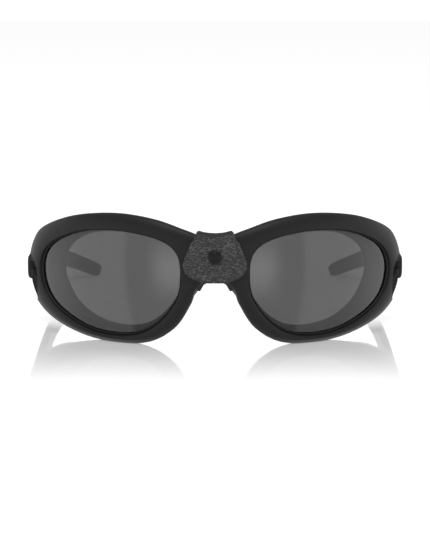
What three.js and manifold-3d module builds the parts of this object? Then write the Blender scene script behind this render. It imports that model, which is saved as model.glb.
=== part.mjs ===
// Wraparound glacier glasses: a deep moulded front with two lenses, folding temples on
// screwed hinges, a rubber nose saddle, and a leather bridge cover that snaps shut.
// Millimetres, +Z up, the wearer looks along -Y, and the wearer's left is +X.
import * as THREE from "three";
import { LoftGeometry } from "three/addons/geometries/LoftGeometry.js";
import { mergeVertices } from "three/addons/utils/BufferGeometryUtils.js";
import Module from "manifold-3d";

// ---- Driving dimensions ----
const LENS_WIDTH = 53.0; // lens opening, seen from the front
const LENS_HEIGHT = 38.6;
const NASAL_GAP = 26.2; // between the two lens openings
const WRAP_RADIUS = 86; // the front's curve in plan
const FACE_RADIUS = 90; // its curve from brow to cheek
const RIM_BELOW = 4.65; // rim under the lens opening
const BRIDGE_TOP = 41.4; // heights of the bridge on the centre line
const BRIDGE_BOTTOM = 27.3;
const BEVEL = 1.3; // slope from the rim's face down to the lens
const CROWN = 0.5; // swelling of the rim's face
const EDGE_ROUND = 1.5; // rounding of the rim's outer edge
const END_DEPTH = 8.4; // end piece behind the rim's widest point

const BACK_WALL = 1.5; // least wall behind the lens groove

const LENS_THICKNESS = 2.0;
const LENS_BITE = 0.8; // lens edge held inside the groove
const GROOVE_SLACK = 0.12; // clearance round the lens

const TEMPLE_LENGTH = 116; // hinge end to tip, straight back
const TEMPLE_HEIGHT = 10.8;
const TIP_HEIGHT = 6;
const TEMPLE_THICKNESS = 4;
const TIP_INSET = 18.5; // how far the tip curves in behind the ear
const TEMPLE_STANDOUT = 0.3; // temple's outer face beyond the front's widest edge
const CORE_WIDTH = 1.2; // steel core in the temple
const CORE_HEIGHT = 2.4;
const CORE_LENGTH = 62;
const CORE_INSET = 0.75; // core's centre, inward from the temple's

const PIN_RADIUS = 0.75;
const PIN_SLACK = 0.07; // radial clearance in the hinge's eyes
const EYE_RADIUS = 1.7;
const EYE_HEIGHT = 2.3; // each of the front hinge's two eyes
const TONGUE_HEIGHT = 3.6; // the temple hinge's one eye
const LEAF = 0.8; // hinge plate thickness
const LEAF_HEIGHT = 4.4;
const SCREW_HEAD_RADIUS = 1.3;
const SCREW_HEAD = 0.7;

const LEATHER = 1.3;
const COVER_TOP_HALF = 6.0; // half widths of the leather cover
const COVER_WIDE_HALF = 11.5;
const STRAP_DROP = 12.5; // how far it hangs behind the bridge
const SNAP_HEIGHT = 35.2;
const SNAP_RADIUS = 2.45;
const CAP_RISE = 0.9;
const SOCKET_DEPTH = 1.1;
const STUD_RADIUS = 0.9;
const POST_RADIUS = 0.8;

const SADDLE_THICKNESS = 3.0;
const SADDLE_DEPTH = 4.2;
const PEG_RADIUS = 0.8;
const PEG_LENGTH = 2.4;

const GAP = 0.15; // between pieces that touch
const FLAT = 0.2; // depth of the flats that it stands on
const STEPS = 4; // sections between two outline stations

// ---- Small helpers ----
const wasm = await Module();
wasm.setup();
const V = (x, y, z) => new THREE.Vector3(x, y, z);

function solid(geometry) {
  const bare = new THREE.BufferGeometry().copy(geometry);
  bare.deleteAttribute("normal");
  bare.deleteAttribute("uv");
  const merged = mergeVertices(bare, 1e-4);
  const all = Array.from(merged.index.array);
  const triVerts = [];
  for (let i = 0; i < all.length; i += 3) {
    const [a, b, c] = all.slice(i, i + 3);
    if (a !== b && b !== c && a !== c) triVerts.push(a, b, c);
  }
  return new wasm.Manifold(
    new wasm.Mesh({
      numProp: 3,
      vertProperties: merged.attributes.position.array,
      triVerts: new Uint32Array(triVerts),
    }),
  );
}

function geometryOf(made) {
  const mesh = made.getMesh();
  const geometry = new THREE.BufferGeometry();
  geometry.setAttribute("position", new THREE.BufferAttribute(mesh.vertProperties, 3));
  geometry.setIndex(new THREE.BufferAttribute(mesh.triVerts, 1));
  const faceted = geometry.toNonIndexed();
  faceted.computeVertexNormals();
  return faceted;
}

function mirrored(geometry) {
  const flipped = geometry.clone().applyMatrix4(new THREE.Matrix4().makeScale(-1, 1, 1));
  const position = flipped.getAttribute("position");
  const turned = [];
  for (let i = 0; i < position.count; i += 3)
    for (const k of [i, i + 2, i + 1])
      turned.push(position.getX(k), position.getY(k), position.getZ(k));
  const out = new THREE.BufferGeometry();
  out.setAttribute("position", new THREE.Float32BufferAttribute(turned, 3));
  out.computeVertexNormals();
  return out;
}

function box(low, high) {
  const size = high.clone().sub(low);
  const middle = high.clone().add(low).multiplyScalar(0.5);
  return solid(new THREE.BoxGeometry(size.x, size.y, size.z).translate(...middle));
}

// A cylinder along +Z or +Y whose axis starts at the given point.
function rod(radius, length, start, along = "z", sides = 24) {
  const made = new THREE.CylinderGeometry(radius, radius, length, sides).translate(0, length / 2, 0);
  if (along === "z") made.rotateX(Math.PI / 2);
  return solid(made.translate(start.x, start.y, start.z));
}

// A smooth line through rows of numbers: at whole u it passes through row u.
function through(rows, u, closed) {
  const n = rows.length;
  const row = (i) => (closed ? rows[((i % n) + n) % n] : rows[Math.min(Math.max(i, 0), n - 1)]);
  const i = Math.floor(u);
  const t = u - i;
  const [a, b, c, d] = [row(i - 1), row(i), row(i + 1), row(i + 2)];
  return b.map(
    (_, k) =>
      0.5 *
      (2 * b[k] +
        (c[k] - a[k]) * t +
        (2 * a[k] - 5 * b[k] + 4 * c[k] - d[k]) * t * t +
        (3 * b[k] - a[k] - 3 * c[k] + d[k]) * t * t * t),
  );
}

// ---- The curved face that everything on the front follows ----
const LENS_X = (NASAL_GAP + LENS_WIDTH) / 2;
const LENS_Z = RIM_BELOW + LENS_HEIGHT / 2;
const FACE_Z = LENS_Z + 3; // height where the face is furthest forward
const WRAP_LIMIT = 0.94 * WRAP_RADIUS; // beyond this the plan curve runs on straight

function faceDepth(x, z) {
  const across = Math.min(Math.abs(x), WRAP_LIMIT);
  const fall = Math.sqrt(WRAP_RADIUS ** 2 - across ** 2);
  const beyond = ((Math.abs(x) - across) * across) / fall;
  return WRAP_RADIUS - fall + beyond + (z - FACE_Z) ** 2 / (2 * FACE_RADIUS);
}

function faceNormal(x, z) {
  const across = Math.min(Math.abs(x), WRAP_LIMIT);
  const slope = (Math.sign(x) * across) / Math.sqrt(WRAP_RADIUS ** 2 - across ** 2);
  return V(slope, -1, (z - FACE_Z) / FACE_RADIUS).normalize();
}

// The point that lies `depth` behind the face at (x, z); negative is in front of it.
function behind(x, z, depth) {
  return V(x, faceDepth(x, z), z).addScaledVector(faceNormal(x, z), -depth);
}

// The point that lies `gap` straight in front of the face at (x, z).
const inFront = (x, z, gap) => V(x, faceDepth(x, z) - gap, z);

// ---- Outlines of the lens opening and of the front ----
// Each station: the lens edge in half widths and half heights from the lens centre, the step
// from there to the front's edge, how far back the inner and outer walls go, and how far the
// inner wall tucks in behind the lens. Where `lean` is 1 the outer wall runs straight back as
// the end piece, with a valley between it and the inner wall.
const MID_BRIDGE = (BRIDGE_BOTTOM + BRIDGE_TOP) / 2;
const STATIONS = [
  { lens: [-0.985, 0.0], height: BRIDGE_BOTTOM, inner: 6, outer: 6, tuck: 0, lean: 0, round: [0, 1] },
  { lens: [-0.995, 0.33], height: MID_BRIDGE, inner: 6, outer: 6, tuck: 0, lean: 0, round: [0, 0] },
  { lens: [-0.95, 0.6], height: BRIDGE_TOP, inner: 6, outer: 6, tuck: 0, lean: 0, round: [0, -1] },
  { lens: [-0.8, 0.8], step: [-7.75, 5.3], inner: 6, outer: 6, tuck: 0, lean: 0 },
  { lens: [-0.5, 0.935], step: [-3.6, 6.5], inner: 6, outer: 6, tuck: 0.2, lean: 0 },
  { lens: [-0.08, 1.0], step: [-0.2, 6.8], inner: 6, outer: 6, tuck: 0.2, lean: 0 },
  { lens: [0.38, 0.935], step: [3.1, 6.1], inner: 7, outer: 6.5, tuck: 0.4, lean: 0 },
  { lens: [0.76, 0.7], step: [4.8, 5.8], inner: 8.5, outer: 8, tuck: 1.2, lean: 0.6 },
  { lens: [0.95, 0.4], step: [5.2, 6.1], inner: 9, outer: 9, tuck: 2.4, lean: 1 },
  { lens: [0.995, 0.02], step: [6.9, 3.2], inner: 9, outer: 9, tuck: 3, lean: 1 },
  { lens: [0.9, -0.4], step: [8.3, -0.2], inner: 9, outer: 9, tuck: 3.2, lean: 1 },
  { lens: [0.68, -0.69], step: [7.1, -3.1], inner: 8, outer: 8, tuck: 2.6, lean: 0.6 },
  { lens: [0.33, -0.92], step: [3.4, -4.2], inner: 7, outer: 6.5, tuck: 1.8, lean: 0 },
  { lens: [-0.05, -1.0], step: [-0.5, -RIM_BELOW], inner: 6.5, outer: 6, tuck: 1.2, lean: 0 },
  { lens: [-0.43, -0.93], step: [-3.7, -4.7], inner: 6.5, outer: 6, tuck: 0.7, lean: 0 },
  { lens: [-0.72, -0.65], step: [-5.7, -4], inner: 6, outer: 6, tuck: 0.2, lean: 0 },
  { lens: [-0.92, -0.28], step: [-6.2, -1.95], inner: 6, outer: 6, tuck: 0, lean: 0 },
  { lens: [-0.965, -0.12], step: [-7.4, 0.7], inner: 6, outer: 6, tuck: 0, lean: 0 },
];
const BRIDGE_FOOT = 0;
const BRIDGE_CREST = 2;
const SIDE = 9; // the station at the hinge

const LENS_ROWS = STATIONS.map(({ lens }) => [
  LENS_X + (lens[0] * LENS_WIDTH) / 2,
  LENS_Z + (lens[1] * LENS_HEIGHT) / 2,
]);
const EDGE_ROWS = STATIONS.map(({ step, height }, i) =>
  step ? [LENS_ROWS[i][0] + step[0], LENS_ROWS[i][1] + step[1]] : [0, height],
);
const ROUND_ROWS = STATIONS.map(({ round }, i) => {
  if (round) return round;
  const inward = [LENS_ROWS[i][0] - EDGE_ROWS[i][0], LENS_ROWS[i][1] - EDGE_ROWS[i][1]];
  const size = Math.hypot(...inward);
  return inward.map((v) => v / size);
});
const WALL_ROWS = STATIONS.map(({ inner, outer, tuck, lean }) => [inner, outer, tuck, lean]);

// The front's edge: straight up the centre line, then one curve round to the nose arch. The
// ghost rows at its two ends mirror their neighbours, so the two halves meet smoothly.
const across = ([x, z]) => [-x, z];
const EDGE_CURVE = [
  across(EDGE_ROWS[BRIDGE_CREST + 1]),
  ...EDGE_ROWS.slice(BRIDGE_CREST),
  EDGE_ROWS[BRIDGE_FOOT],
  across(EDGE_ROWS[EDGE_ROWS.length - 1]),
];

const lensEdge = (u) => through(LENS_ROWS, u, true);

function frontEdge(u) {
  if (u < BRIDGE_CREST) {
    const share = u / BRIDGE_CREST;
    return [0, BRIDGE_BOTTOM + (BRIDGE_TOP - BRIDGE_BOTTOM) * share];
  }
  const [x, z] = through(EDGE_CURVE, u - BRIDGE_CREST + 1, false);
  return [Math.max(x, 0), z];
}

function roundDirection(u) {
  const [x, z] = through(ROUND_ROWS, u, true);
  return u < BRIDGE_CREST || frontEdge(u)[0] === 0 ? [0, z] : [x, z];
}

const [SIDE_X, SIDE_Z] = EDGE_ROWS[SIDE];
const END_REAR = faceDepth(SIDE_X, SIDE_Z) + END_DEPTH; // rear face of the end pieces

const EDGE_U = Array.from({ length: STATIONS.length * STEPS }, (_, k) => k / STEPS);

// Height of the flats: the rim's edge is lowest where its rounding ends.
const FLOOR = ((EDGE_ROUND + 0.5) * FACE_Z) / FACE_RADIUS + FLAT;
const belowFloor = () => box(V(-120, -30, -5), V(120, 400, FLOOR));

// ---- Hinge positions ----
const TEMPLE_OUTER_X = SIDE_X + TEMPLE_STANDOUT;
const TEMPLE_X = TEMPLE_OUTER_X - TEMPLE_THICKNESS / 2;
const PIN_X = TEMPLE_OUTER_X - TEMPLE_THICKNESS - EYE_RADIUS - GAP;
const PIN_Y = END_REAR - EYE_RADIUS;
const HINGE_Z = LENS_Z + 0.8;
const NOTCH_FRONT = PIN_Y - EYE_RADIUS - LEAF - 1.2; // front wall of the end piece's notch
const NOTCH_HALF = TEMPLE_HEIGHT / 2 + 0.6;
const TEMPLE_FRONT = NOTCH_FRONT + 0.8;

// ---- Front ----
const GROOVE_FRONT = BEVEL + 0.1;
const GROOVE_BACK = GROOVE_FRONT + LENS_THICKNESS + 2 * GROOVE_SLACK;
const GROOVE_FLOOR = LENS_BITE + GROOVE_SLACK;

// One section of the rim, from the groove round the back and over the face to the lens.
function rimSection(u) {
  const lens = lensEdge(u);
  const edge = frontEdge(u);
  const round = roundDirection(u);
  const [inner, outer, tuck, lean] = through(WALL_ROWS, u, true);
  const width = Math.hypot(edge[0] - lens[0], edge[1] - lens[1]);
  const fromLens = (distance, depth) => {
    const share = distance / width;
    const x = lens[0] + (edge[0] - lens[0]) * share;
    return behind(x, lens[1] + (edge[1] - lens[1]) * share, depth);
  };
  const fromEdge = (distance, depth) =>
    behind(edge[0] + round[0] * distance, edge[1] + round[1] * distance, depth);
  const turned = THREE.MathUtils.clamp(lean, 0, 1);
  const straight = fromEdge(0, 2);
  straight.y = Math.max(END_REAR, straight.y + 1);
  const wall = fromEdge(0.2, outer).lerp(straight, turned);
  const corner = wall.clone().lerp(fromLens(0.5, inner), 0.12 + 0.3 * turned);
  const valley = fromLens(0.9, inner - (inner - GROOVE_BACK - BACK_WALL) * turned);
  wall.lerp(fromEdge(0, 2), 0.12);
  return [
    fromLens(0, GROOVE_FRONT),
    fromLens(GROOVE_FLOOR, GROOVE_FRONT),
    fromLens(GROOVE_FLOOR, GROOVE_BACK),
    fromLens(0, GROOVE_BACK),
    fromLens(-tuck, inner - 0.5),
    fromLens(0.3 - tuck, inner),
    valley,
    corner,
    wall,
    fromEdge(0, EDGE_ROUND + 0.5),
    fromEdge(EDGE_ROUND * 0.3, EDGE_ROUND * 0.45),
    fromEdge(EDGE_ROUND, THREE.MathUtils.lerp(-CROWN * 0.8, 0.05, Math.hypot(...round))),
    fromLens(width * 0.66, -CROWN * 0.8),
    fromLens(width * 0.42, -CROWN),
    fromLens(BEVEL, 0),
    fromLens(0, BEVEL),
  ];
}

function frontHalf() {
  const sections = EDGE_U.map(rimSection);
  return new LoftGeometry([...sections, sections[0]]);
}

const snapCentre = (depth) => V(0, faceDepth(0, SNAP_HEIGHT) + depth, SNAP_HEIGHT);
const SNAP_WELL = SOCKET_DEPTH + 0.5; // recess in the bridge that the snap closes into

const SCOOP_TILT = (13 * Math.PI) / 180; // its lower end leans in, along the front's edge

// The slot for the hinge, and the scoop and vent in the side in front of it.
function sideCuts() {
  const notch = box(
    V(PIN_X - 6, NOTCH_FRONT, HINGE_Z - NOTCH_HALF),
    V(TEMPLE_OUTER_X + 5, END_REAR + 5, HINGE_Z + NOTCH_HALF),
  );
  const sideY = faceDepth(SIDE_X, SIDE_Z);
  const scoop = solid(
    new THREE.SphereGeometry(1, 20, 12)
      .scale(5.1, 5.1, 11)
      .rotateY(SCOOP_TILT)
      .translate(SIDE_X - 0.1, sideY - 3.6, HINGE_Z - 2.4),
  );
  const vent = box(
    V(SIDE_X - 4.6, sideY - 5, HINGE_Z - 0.9),
    V(SIDE_X + 1, NOTCH_FRONT + 1, HINGE_Z + 2.2),
  );
  const anchor = box(
    V(PIN_X - 1.3, NOTCH_FRONT - 3.1, HINGE_Z - 1.3 - 2.2),
    V(PIN_X + 0.5, NOTCH_FRONT + 1, HINGE_Z + 1.3 - 2.2),
  );
  return notch.add(scoop).add(vent).add(anchor);
}

function makeFront() {
  const left = solid(frontHalf());
  const right = solid(mirrored(frontHalf().toNonIndexed()));
  const cuts = sideCuts();
  const well = rod(SNAP_RADIUS + 0.5, SNAP_WELL + 4, snapCentre(-4), "y");
  const hole = rod(POST_RADIUS + GAP, 12, snapCentre(-1), "y", 16);
  let made = left.add(right).subtract(cuts).subtract(solid(mirrored(geometryOf(cuts))));
  made = made.subtract(well).subtract(hole).subtract(belowFloor());
  for (const side of [-1, 1]) made = made.subtract(peg(side, PEG_RADIUS + GAP, PEG_LENGTH + GAP));
  return made;
}

// ---- Lens ----
const LENS_ROWS_ACROSS = 6; // points down each strip of the lens

// The lens's own edge, which sits in the groove.
function lensRim(u) {
  const [x, z] = lensEdge(u);
  const [ex, ez] = frontEdge(u);
  const share = LENS_BITE / Math.hypot(ex - x, ez - z);
  return [x + (ex - x) * share, z + (ez - z) * share];
}

// Upright strips from the nasal end to the temple end; the two ends close to an edge.
function makeLens() {
  const front = GROOVE_FRONT + GROOVE_SLACK;
  const half = EDGE_U.length / 2;
  const sections = Array.from({ length: half + 1 }, (_, k) => {
    const [ux, uz] = lensRim(k / STEPS);
    const [lx, lz] = lensRim(STATIONS.length - k / STEPS);
    const strip = (depth) =>
      Array.from({ length: LENS_ROWS_ACROSS }, (_, j) => {
        const share = j / (LENS_ROWS_ACROSS - 1);
        return behind(ux + (lx - ux) * share, uz + (lz - uz) * share, depth);
      });
    return [...strip(front), ...strip(front + LENS_THICKNESS).reverse()];
  });
  return new LoftGeometry(sections);
}

// ---- Temple ----
// From the end's middle down to the sloping tip's lowest edge.
const TIP_UNDERSIDE = TIP_HEIGHT / 2 - 0.96;
const TIP_DROP = HINGE_Z - FLOOR - TIP_UNDERSIDE + FLAT + 0.1;

function templePoint(s) {
  const hook = s ** 6;
  return V(
    TEMPLE_X - TIP_INSET * hook,
    TEMPLE_FRONT + TEMPLE_LENGTH * s,
    HINGE_Z - TIP_DROP * (0.55 * s + 0.45 * hook),
  );
}

// A rounded rectangle of the given size across the temple's line, moved inward by `inset`.
function templeSection(s, thickness, height, inset = 0, sides = 12) {
  const tangent = templePoint(s + 1e-3).sub(templePoint(s - 1e-3)).normalize();
  const outward = V(tangent.y, -tangent.x, 0).normalize();
  const up = outward.clone().cross(tangent).normalize();
  return Array.from({ length: sides }, (_, k) => {
    const angle = -((k + 0.5) / sides) * Math.PI * 2;
    const squared = (v) => Math.sign(v) * Math.abs(v) ** 0.45;
    return templePoint(s)
      .addScaledVector(outward, (squared(Math.cos(angle)) * thickness) / 2 - inset)
      .addScaledVector(up, (squared(Math.sin(angle)) * height) / 2);
  });
}

const TEMPLE_S = [
  0, 0.008, 0.02, 0.1, 0.25, 0.4, 0.52, 0.62, 0.7, 0.77, 0.83, 0.88, 0.92, 0.955, 0.98, 0.993, 1,
];

function makeTemple() {
  const sections = TEMPLE_S.map((s) => {
    const nose = Math.min(1, 0.7 + s * 20);
    const end = s > 0.95 ? Math.sqrt(Math.max(0.12, 1 - ((s - 0.95) / 0.0525) ** 2)) : 1;
    const height = TEMPLE_HEIGHT + (TIP_HEIGHT - TEMPLE_HEIGHT) * s;
    const slim = TEMPLE_THICKNESS * (1 - 0.15 * s);
    const across = slim * nose * (0.4 + 0.6 * end);
    const upright = height * (0.7 + 0.3 * nose) * (0.75 + 0.25 * end);
    return templeSection(s, across, upright);
  });
  let made = solid(new LoftGeometry(sections, { capStart: true, capEnd: true }));
  made = made.subtract(leafPlate(GAP)).subtract(core(GAP));
  return made.subtract(belowFloor());
}

const LEAF_LENGTH = 9;
const CORE_START = (PIN_Y + LEAF_LENGTH + 2 * GAP - TEMPLE_FRONT) / TEMPLE_LENGTH;

// The steel core, or with slack the channel that it lies in, open to the hinge plate's seat.
function core(slack) {
  const from = CORE_START - (slack ? 2 : 0) / TEMPLE_LENGTH;
  const to = CORE_START + (CORE_LENGTH + slack) / TEMPLE_LENGTH;
  const sections = Array.from({ length: 12 }, (_, k) => {
    const s = from + ((to - from) * k) / 11;
    return templeSection(s, CORE_WIDTH + 2 * slack, CORE_HEIGHT + 2 * slack, CORE_INSET, 8);
  });
  return solid(new LoftGeometry(sections, { capStart: true, capEnd: true }));
}

// ---- Hinge ----
const TEMPLE_INNER_X = TEMPLE_OUTER_X - TEMPLE_THICKNESS;

// The plate let into the temple's inner face, grown by `slack` for its seat.
function leafPlate(slack) {
  const half = LEAF_HEIGHT / 2 + slack;
  return box(
    V(TEMPLE_INNER_X - 1 - slack, PIN_Y - slack, HINGE_Z - half),
    V(TEMPLE_INNER_X + LEAF + slack, PIN_Y + LEAF_LENGTH + slack, HINGE_Z + half),
  );
}

function makeTempleHinge() {
  const half = TONGUE_HEIGHT / 2;
  const plate = box(
    V(TEMPLE_INNER_X, PIN_Y, HINGE_Z - LEAF_HEIGHT / 2),
    V(TEMPLE_INNER_X + LEAF, PIN_Y + LEAF_LENGTH, HINGE_Z + LEAF_HEIGHT / 2),
  );
  const neck = box(
    V(PIN_X, PIN_Y, HINGE_Z - half),
    V(TEMPLE_INNER_X + LEAF, PIN_Y + EYE_RADIUS, HINGE_Z + half),
  );
  const eye = rod(EYE_RADIUS, TONGUE_HEIGHT, V(PIN_X, PIN_Y, HINGE_Z - half));
  const bore = rod(PIN_RADIUS + PIN_SLACK, 20, V(PIN_X, PIN_Y, HINGE_Z - 10));
  return plate.add(neck).add(eye).subtract(bore);
}

function makeFrontHinge() {
  const bottom = HINGE_Z - TONGUE_HEIGHT / 2 - GAP - EYE_HEIGHT;
  const top = HINGE_Z + TONGUE_HEIGHT / 2 + GAP;
  const plateFront = NOTCH_FRONT + GAP;
  let made = box(
    V(PIN_X - EYE_RADIUS, plateFront, bottom),
    V(PIN_X + EYE_RADIUS - GAP, plateFront + LEAF, top + EYE_HEIGHT),
  );
  for (const low of [bottom, top]) {
    const arm = box(
      V(PIN_X - EYE_RADIUS, plateFront, low),
      V(PIN_X + EYE_RADIUS - GAP, PIN_Y, low + EYE_HEIGHT),
    );
    made = made.add(arm).add(rod(EYE_RADIUS, EYE_HEIGHT, V(PIN_X, PIN_Y, low)));
  }
  const anchor = box(
    V(PIN_X - 1.15, NOTCH_FRONT - 2.9, HINGE_Z - 3.35),
    V(PIN_X + 0.35, plateFront + LEAF, HINGE_Z - 1.05),
  );
  const bore = rod(PIN_RADIUS + PIN_SLACK, 20, V(PIN_X, PIN_Y, HINGE_Z - 10));
  return made.add(anchor).subtract(bore);
}

function makeScrew() {
  const reach = TONGUE_HEIGHT / 2 + GAP + EYE_HEIGHT;
  const head = V(PIN_X, PIN_Y, HINGE_Z + reach + 0.05);
  const slot = box(
    head.clone().add(V(-2, -0.15, SCREW_HEAD * 0.5)),
    head.clone().add(V(2, 0.15, SCREW_HEAD + 1)),
  );
  return rod(PIN_RADIUS, 2 * reach + 0.35, V(PIN_X, PIN_Y, HINGE_Z - reach - 0.25))
    .add(rod(SCREW_HEAD_RADIUS, SCREW_HEAD, head))
    .subtract(slot);
}

// ---- Leather bridge cover ----
const COVER_FRONT = -(GAP + LEATHER); // depth of its outer face in front of the frame
const FOLD_Z = BRIDGE_TOP - 0.4; // height of the line that the flap lifts about
const FOLD_Y = faceDepth(0, FOLD_Z) + COVER_FRONT - CROWN;
const FLAP_BOTTOM = BRIDGE_BOTTOM - 2.1;
// Height above the flap's lower edge, and half width.
const FLAP_ROWS = [
  [0, 0.57 * COVER_WIDE_HALF],
  [0.5, 0.73 * COVER_WIDE_HALF],
  [1.5, 0.87 * COVER_WIDE_HALF],
  [3, 0.96 * COVER_WIDE_HALF],
  [5.2, COVER_WIDE_HALF],
];
const COLUMNS = 9;

// A leather section: its outer face from one edge to the other, and its inner face back again.
function leatherSection(half, outerAt, innerAt) {
  const xs = Array.from({ length: COLUMNS }, (_, k) => half * ((2 * k) / (COLUMNS - 1) - 1));
  return [...xs.map(outerAt), ...xs.reverse().map(innerAt)];
}

function makeFlap() {
  const top = FOLD_Z - GAP;
  const last = FLAP_ROWS[FLAP_ROWS.length - 1];
  const rows = FLAP_ROWS.map(([rise, half]) => [FLAP_BOTTOM + rise, half]);
  const narrowing = [0.3, 0.65, 1];
  for (const share of narrowing) {
    const z = FLAP_BOTTOM + last[0] + (top - FLAP_BOTTOM - last[0]) * share;
    rows.push([z, last[1] + (COVER_TOP_HALF + 1.2 - last[1]) * share]);
  }
  const sections = rows.map(([z, half]) =>
    leatherSection(
      half,
      (x) => inFront(x, z, CROWN + GAP + LEATHER),
      (x) => inFront(x, z, CROWN + GAP),
    ),
  );
  const hole = rod(POST_RADIUS + 0.3 + GAP, 6, snapCentre(-5), "y", 16);
  return solid(new LoftGeometry(sections, { capStart: true, capEnd: true })).subtract(hole);
}

// Height of the bridge's upper edge at a distance from the centre line.
function crestHeight(x) {
  let [low, high] = [BRIDGE_CREST, BRIDGE_CREST + 2];
  for (let k = 0; k < 30; k++) {
    const middle = (low + high) / 2;
    if (frontEdge(middle)[0] < Math.abs(x)) low = middle;
    else high = middle;
  }
  return frontEdge(low)[1];
}

function makeStrap() {
  const frontY = faceDepth(0, FOLD_Z) - GAP - CROWN;
  const backY = faceDepth(0, BRIDGE_TOP) + 6 + 0.45;
  const turn = 1.6; // inner radius of the fold over the bridge
  const topZ = BRIDGE_TOP + GAP + 0.15;
  // Points on the inner face, the way the outer face lies from them, and the half width.
  const path = [
    { y: frontY, z: FOLD_Z + GAP, out: [-1, 0], half: COVER_TOP_HALF + 1.1, follow: 0 },
    { y: frontY + 0.1, z: topZ - 0.6, out: [-0.92, 0.38], half: COVER_TOP_HALF + 0.8, follow: 0.4 },
    {
      y: frontY + turn * 0.5,
      z: topZ - 0.1,
      out: [-0.5, 0.87],
      half: COVER_TOP_HALF + 0.2,
      follow: 1,
    },
    { y: frontY + turn * 1.4, z: topZ, out: [0, 1], half: COVER_TOP_HALF, follow: 1 },
    { y: backY - turn, z: topZ, out: [0, 1], half: COVER_TOP_HALF, follow: 1 },
    {
      y: backY - turn * 0.29,
      z: topZ - turn * 0.29,
      out: [0.71, 0.71],
      half: COVER_TOP_HALF,
      follow: 1,
    },
    { y: backY, z: topZ - turn, out: [1, 0], half: COVER_TOP_HALF, follow: 0.7 },
    { y: backY, z: topZ - STRAP_DROP + 2, out: [1, 0], half: COVER_TOP_HALF - 0.4, follow: 0 },
    { y: backY, z: topZ - STRAP_DROP, out: [1, 0], half: COVER_TOP_HALF - 2, follow: 0 },
  ];
  const sections = path.map(({ y, z, out, half, follow }) => {
    const rise = (x) => follow * (crestHeight(x) - BRIDGE_TOP);
    const bow = (x) => faceDepth(x, BRIDGE_TOP) - faceDepth(0, BRIDGE_TOP);
    return leatherSection(
      half,
      (x) => V(x, y + bow(x) + out[0] * LEATHER, z + rise(x) + out[1] * LEATHER),
      (x) => V(x, y + bow(x), z + rise(x)),
    );
  });
  const hole = rod(POST_RADIUS + GAP, 10, V(0, 4, SNAP_HEIGHT), "y", 16);
  return solid(new LoftGeometry(sections, { capStart: true, capEnd: true })).subtract(hole);
}

// ---- Snap fastener ----
const lathe = (profile, sides = 24) =>
  new THREE.LatheGeometry(profile.map(([r, h]) => new THREE.Vector2(r, h)), sides);
// Profiles run along +Y; a turned piece sits on the bridge's centre line.
const onSnapAxis = (profile, depth) =>
  solid(lathe(profile).translate(0, snapCentre(depth).y, SNAP_HEIGHT));

const COVER_OUTER = COVER_FRONT - CROWN;
const SNAP_LEAN = (SNAP_RADIUS * (SNAP_HEIGHT - FACE_Z)) / FACE_RADIUS; // the face's lean over the snap
const NECK = LEATHER + GAP + SNAP_LEAN;

function makeSnapCap() {
  return onSnapAxis(
    [
      [0, -CAP_RISE],
      [SNAP_RADIUS * 0.5, -CAP_RISE * 0.9],
      [SNAP_RADIUS * 0.85, -CAP_RISE * 0.55],
      [SNAP_RADIUS, -CAP_RISE * 0.1],
      [SNAP_RADIUS * 0.95, 0],
      [POST_RADIUS + 0.3, 0],
      [POST_RADIUS + 0.3, NECK],
      [0, NECK],
    ],
    COVER_OUTER - GAP - SNAP_LEAN,
  );
}

function makeSnapSocket() {
  const bore = STUD_RADIUS + 0.45;
  const top = COVER_OUTER + LEATHER + GAP + SNAP_LEAN;
  return onSnapAxis(
    [
      [0, 0],
      [SNAP_RADIUS * 0.9, 0],
      [SNAP_RADIUS * 0.9, 0.3],
      [bore + 0.5, SOCKET_DEPTH],
      [bore, SOCKET_DEPTH],
      [bore, 0.3],
      [0, 0.3],
    ],
    top,
  );
}

function makeSnapStud() {
  const floor = SNAP_WELL - GAP;
  const rise = SOCKET_DEPTH + 0.1;
  return onSnapAxis(
    [
      [0, floor - rise],
      [STUD_RADIUS * 0.7, floor - rise + 0.1],
      [STUD_RADIUS, floor - rise + 0.45],
      [STUD_RADIUS * 0.85, floor - 0.35],
      [SNAP_RADIUS * 0.9, floor - 0.3],
      [SNAP_RADIUS * 0.9, floor],
      [0, floor],
    ],
    0,
  );
}

function makeSnapPost() {
  const rear = faceDepth(0, BRIDGE_TOP) + 6 + 0.45 + LEATHER + GAP;
  const start = snapCentre(SNAP_WELL).y + 0.05;
  const head = lathe([
    [0, 0],
    [SNAP_RADIUS, 0],
    [SNAP_RADIUS, 0.3],
    [SNAP_RADIUS * 0.6, 0.7],
    [0, 0.8],
  ]);
  return rod(POST_RADIUS, rear - start + 0.2, V(0, start, SNAP_HEIGHT), "y", 16).add(
    solid(head.translate(0, rear, SNAP_HEIGHT)),
  );
}

// ---- Nose saddle ----
// The nose side of the saddle, from the centre line down one leg.
const SADDLE_ROWS = [
  [-3, BRIDGE_BOTTOM - 3.4],
  [0, BRIDGE_BOTTOM - 3.0],
  [3, BRIDGE_BOTTOM - 3.4],
  [5.9, BRIDGE_BOTTOM - 5.6],
  [9.2, BRIDGE_BOTTOM - 10.2],
  [12.4, BRIDGE_BOTTOM - 15.6],
];
const SADDLE_FRONT = 6.45; // its depth behind the face

const legPoint = (v) => {
  const [x, z] = through(SADDLE_ROWS, 1 + Math.abs(v) * 4, false);
  return [Math.sign(v) * x, z];
};

function legNormal(v) {
  const [ax, az] = legPoint(v - 0.01);
  const [bx, bz] = legPoint(v + 0.01);
  const size = Math.hypot(bx - ax, bz - az);
  return [-(bz - az) / size, (bx - ax) / size];
}

function saddlePoint(v, outward, depth) {
  const [x, z] = legPoint(v);
  const [nx, nz] = legNormal(v);
  return behind(x + nx * outward, z + nz * outward, SADDLE_FRONT + depth);
}

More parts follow.
